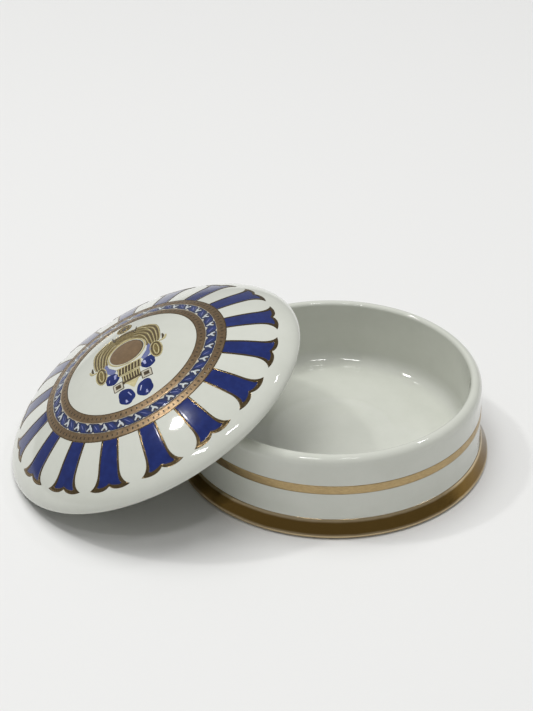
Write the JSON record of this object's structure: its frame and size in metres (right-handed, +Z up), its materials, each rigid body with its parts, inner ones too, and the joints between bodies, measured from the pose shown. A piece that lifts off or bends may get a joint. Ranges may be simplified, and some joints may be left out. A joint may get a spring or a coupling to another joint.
{
  "type": "trinket box",
  "caption": "Round porcelain trinket box with a gilded foot and a loose domed lid, decorated with cobalt flutes and gold rings, leaning on the bowl's rim.",
  "frame": {"origin": "centre of the bowl's foot, on the surface the box stands on", "axes": "+Z up along the bowl's axis, +X across the box, from the leaning lid towards the bowl, -Y towards the front"},
  "size_m": [0.1551, 0.1103, 0.0505],
  "materials": {
    "porcelain": "glossy",
    "bowl_gold": "polished",
    "lid_gold": "satin",
    "ornament_gold": "satin",
    "bronze_enamel": "satin",
    "cobalt": "glossy",
    "white_enamel": "glossy"
  },
  "bodies": {
    "bowl": {"bowl": "porcelain", "waist_gilt_band": "bowl_gold", "foot_gilding": "bowl_gold"},
    "lid": {"lid": "porcelain", "inner_gilt_ring": "lid_gold", "outer_gilt_ring": "lid_gold", "leaf_border": "cobalt", "leaf_motifs": "white_enamel", "cobalt_flutes": "cobalt", "flute_gilt_lines": "lid_gold", "medallion_disc": "bronze_enamel", "medallion_frame": "ornament_gold", "scroll_drapery": "ornament_gold", "cartouche_collars": "ornament_gold", "cobalt_drops": "cobalt"}
  },
  "joints": [
    {"name": "lid_lift", "type": "slide", "parent": "bowl", "child": "lid", "axis": [0, 0, 1], "range_m": [0, 0.06]}
  ]
}
